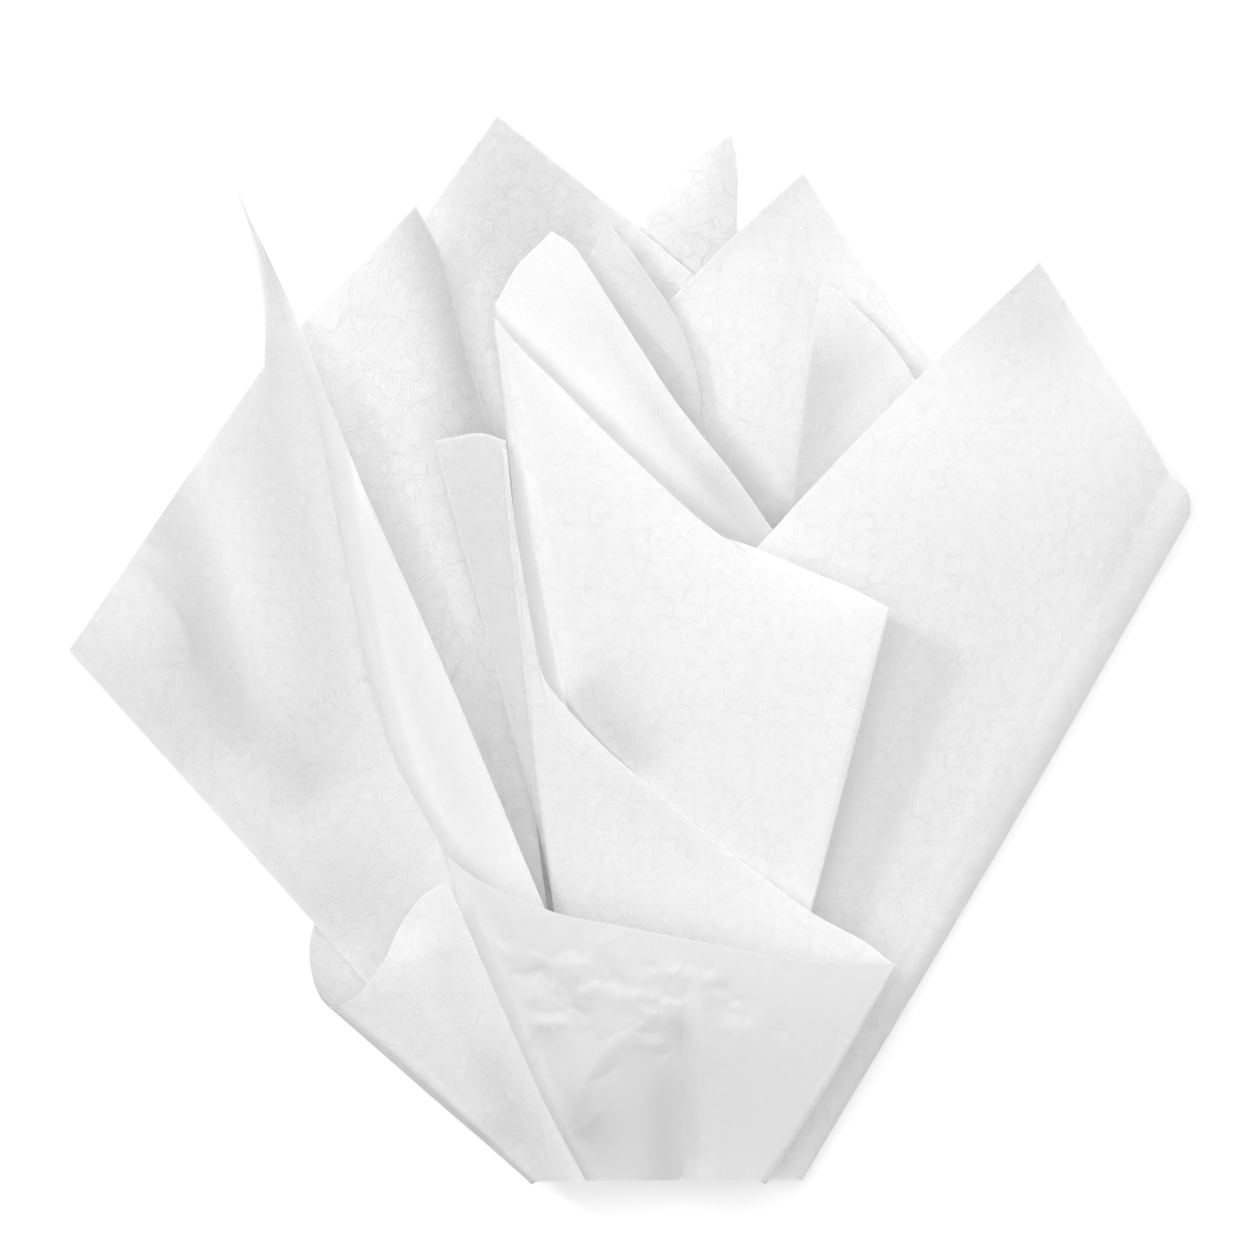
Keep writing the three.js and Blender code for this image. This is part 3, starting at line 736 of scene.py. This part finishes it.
cone_front = Panel(cone_front).settle((18, 165, 66), (12, 110, 52))
cone_front.waver(size=80, rise=0.5, seed=32)
# painted shade in a band across the lower left of the cone's front
cone_front.paint_shade(
    [(-26, 165), (-14, 150), (4, 128)],
    amount=0.2, left=17, right=17, start=0.2, end=0.3,
)
# painted shade: the taller leaf is a little less white all over, and more so near the right end
# of its upper edge
tall_leaf = Panel(tall_leaf, tone=0.955, threads=0.7).settle((0, 246, 44), (22, 222, 40.5))
tall_leaf.fold(
    [(-12, 300), (3, 278), (16, 259), (36, 233), (50, 214)],
    rise=8, left=24, right=24, start=0.3,
)
tall_leaf.paint_shade([(30, 232), (46, 213)], amount=0.1, left=10, right=10)
centre_panels = [
    Panel(inner_leaf).settle(), Panel(cone_fold), cone_front, Panel(cone_bend), tall_leaf,
]
centre_paper = tissue("centre tissue", shade=0.98, offset=(0.2, 0.8, 0.5))
add_sheet(
    "centre_tissue", "centre_sheet", centre_panels, centre_paper,
)

# ------------------------------------------------------------------------------- right sheet
# The widest cut sheet of tissue paper, held in the gathered neck. Its front leaf rolls
# under along the bunch's right side, and its rear leaf comes up behind as a second corner.

right_edge = side([[5, 0, 15], [12, 92, 28], [17, 185, 40]], 12)
right_top = joined(
    rim([
        [17, 185, 40], [42.3, 210.7, 44], [57.3, 227.3, 46], [101, 272.3, 49],
        [137.3, 307, 46],
    ], 9),
    rim([[137.3, 307, 46], [157.3, 275.7, 42], [174, 249, 36], [181, 236, 31]], 5),
)
right_side = side([[55, 0, 15], [118, 118, 24], [181, 236, 31]], 12)
right_leaf = patch(right_edge, right_top, right_side)
rear_side = side([[55, 0, 7], [112, 108, 3.5], [165, 215, 1]], 12)
right_roll = turn(right_side, rear_side, way=1, reach=0.75)
rear_top = joined(
    rim([
        [165, 215, 1], [140, 240, 4], [101, 272.3, 12], [78, 306.7, 17], [58.7, 337.3, 21],
    ], 8),
    rim([[58.7, 337.3, 21], [37, 317.3, 21], [14.7, 294.7, 20], [-9, 270, 19]], 6),
)
rear_edge = side([[15, 0, 7], [3, 135, 13], [-9, 270, 19]], 12)
rear_leaf = patch(rear_side, rear_top, rear_edge)

right_leaf = Panel(right_leaf).settle().waver(size=90, rise=0.5, seed=42)
# painted shade at the front leaf's tip and down its right side, and on the rear leaf at its tip
# and along the left part of its upper edge
right_leaf.paint_shade([(137, 309), (134, 295)], amount=0.18, left=26, right=26)
right_leaf.paint_shade([(182, 240), (170, 205)], amount=0.09, left=20, right=20)
rear_leaf = Panel(rear_leaf).settle()
rear_leaf.paint_shade([(59, 339), (57, 325)], amount=0.1, left=22, right=22)
rear_leaf.paint_shade([(56, 335), (37, 317), (15, 295), (-9, 270)], amount=0.09, left=6, right=6)
right_panels = [right_leaf, Panel(right_roll), rear_leaf]
right_paper = tissue("right tissue", shade=0.975, offset=(0.9, 0.3, 0.1))
add_sheet(
    "right_tissue", "right_sheet", right_panels, right_paper,
)

# ------------------------------------------------------------------------------- inner sheet
# A narrow cut sheet of tissue paper, folded once and held in the neck inside the others.
# Its two corners stand apart, one behind the cone and one further right.

left_edge = side([[18, 0, 10], [0, 150, 20], [-20, 292, 29]], 12)
left_top = joined(
    rim([[-20, 292, 29], [-14, 306, 30], [-7, 320.7, 30]], 3),
    rim([
        [-7, 320.7, 30], [5.3, 304.3, 30], [16.7, 286.7, 28], [23, 268, 26],
        [25.3, 248.3, 24], [31, 222, 22], [40, 197, 20],
    ], 9),
)
valley = side([[30, 0, 10], [36, 100, 15], [40, 197, 20]], 12)
left_corner = patch(left_edge, left_top, valley)
slit_edge = side([
    [40, 197, 20], [47, 204, 21], [52, 213, 22], [54, 223.3, 23.5], [58.7, 259, 27],
    [61.7, 284, 29], [64.3, 299.3, 30],
], 7)
corner_top = rim([
    [64.3, 299.3, 30], [68.7, 298, 28], [77, 291, 25], [88, 279.7, 22.5],
    [96.3, 267.3, 21], [112, 245, 19],
], 7)
corner_edge = side([[48, 0, 10], [80, 122, 14], [112, 245, 19]], 19)
right_corner = patch(joined(valley, slit_edge), corner_top, corner_edge)

inner_paper = tissue("inner tissue", shade=0.94, offset=(0.6, 0.9, 0.8))
right_corner = Panel(right_corner).settle()
right_corner.fold(
    [(47, 204), (54, 223), (58, 255), (62, 284), (65, 300)],
    rise=6, left=12, right=14, end=0.3,
)
# painted shade in a band beside the slit edge, and over the whole left corner, which is made
# darker
right_corner.paint_shade([(56, 215), (61, 255), (66, 290)], amount=0.2, left=10, right=11, end=0.3)
inner_panels = [Panel(left_corner, tone=0.85).settle(), right_corner]
add_sheet(
    "inner_tissue", "inner_sheet", inner_panels, inner_paper,
)

# -------------------------------------------------------------------------- floor and lights
# A plain white floor under the bunch and three round soft lights: a key high at the upper
# left, a wide one overhead and a weaker fill at the lower right. Even light comes from all
# round, as in a white studio tent.

FLOOR_SIZE = 40.0  # metres
FLOOR_GAP = 0.0005  # metres of air that keep the floor clear of the paper
FLOOR_GLOW = 0.16  # added for the eye only, so that the floor looks as white as a lit card
floor_mesh = bpy.data.meshes.new("floor")
half = FLOOR_SIZE / 2
floor_mesh.from_pydata(
    [(-half, -half, 0), (half, -half, 0), (half, half, 0), (-half, half, 0)], [], [(0, 1, 2, 3)]
)
floor = bpy.data.objects.new("floor", floor_mesh)
floor.location.z = -FLOOR_GAP
bpy.context.collection.objects.link(floor)
white_card = bpy.data.materials.new("white card")
white_card.use_nodes = True
card_tree = white_card.node_tree
card = card_tree.nodes["Principled BSDF"]
card.inputs["Roughness"].default_value = 0.9
card.inputs["Specular IOR Level"].default_value = 0.0
card.inputs["Emission Color"].default_value = (1, 1, 1, 1)

# the floor looks a little whiter to the eye than to the paper that lies on it
to_eye = card_tree.nodes.new("ShaderNodeLightPath").outputs["Is Camera Ray"]
card_white = card_tree.nodes.new("ShaderNodeMix")
card_white.data_type = "RGBA"
card_white.inputs["A"].default_value = (0.9, 0.9, 0.9, 1)
card_white.inputs["B"].default_value = (0.97, 0.97, 0.97, 1)
glow = math_node(card_tree, "MULTIPLY", to_eye, FLOOR_GLOW)
card_tree.links.new(to_eye, card_white.inputs["Factor"])
card_tree.links.new(card_white.outputs["Result"], card.inputs["Base Color"])
card_tree.links.new(glow, card.inputs["Emission Strength"])
floor_mesh.materials.append(white_card)


def soft_light(name, heading, distance, size, energy):
    """A round soft light that shines on the bunch from a heading, in metres and watts."""
    data = bpy.data.lights.new(name, "AREA")
    data.shape = "DISK"
    data.size = size
    data.energy = energy
    light = bpy.data.objects.new(name, data)
    heading = Vector(heading).normalized()
    light.location = heading * distance
    light.rotation_mode = "QUATERNION"
    light.rotation_quaternion = heading.to_track_quat("Z", "Y")
    light.visible_camera = False
    bpy.context.collection.objects.link(light)


soft_light("key", (-0.52, 0.34, 0.78), distance=2.5, size=0.35, energy=18.6)
soft_light("overhead", (-0.05, 0.05, 1.0), distance=3.0, size=2.0, energy=43.0)
soft_light("fill", (0.62, -0.3, 0.72), distance=3.0, size=1.6, energy=13.5)

tent = bpy.data.worlds.new("tent")
tent.use_nodes = True
tent.node_tree.nodes["Background"].inputs["Color"].default_value = (1, 1, 1, 1)
tent.node_tree.nodes["Background"].inputs["Strength"].default_value = 0.36
bpy.context.scene.world = tent
bpy.context.scene.cycles.diffuse_bounces = 6  # light bounces many times between white sheets
bpy.context.scene.view_settings.view_transform = "Standard"
bpy.context.scene.view_settings.look = "None"
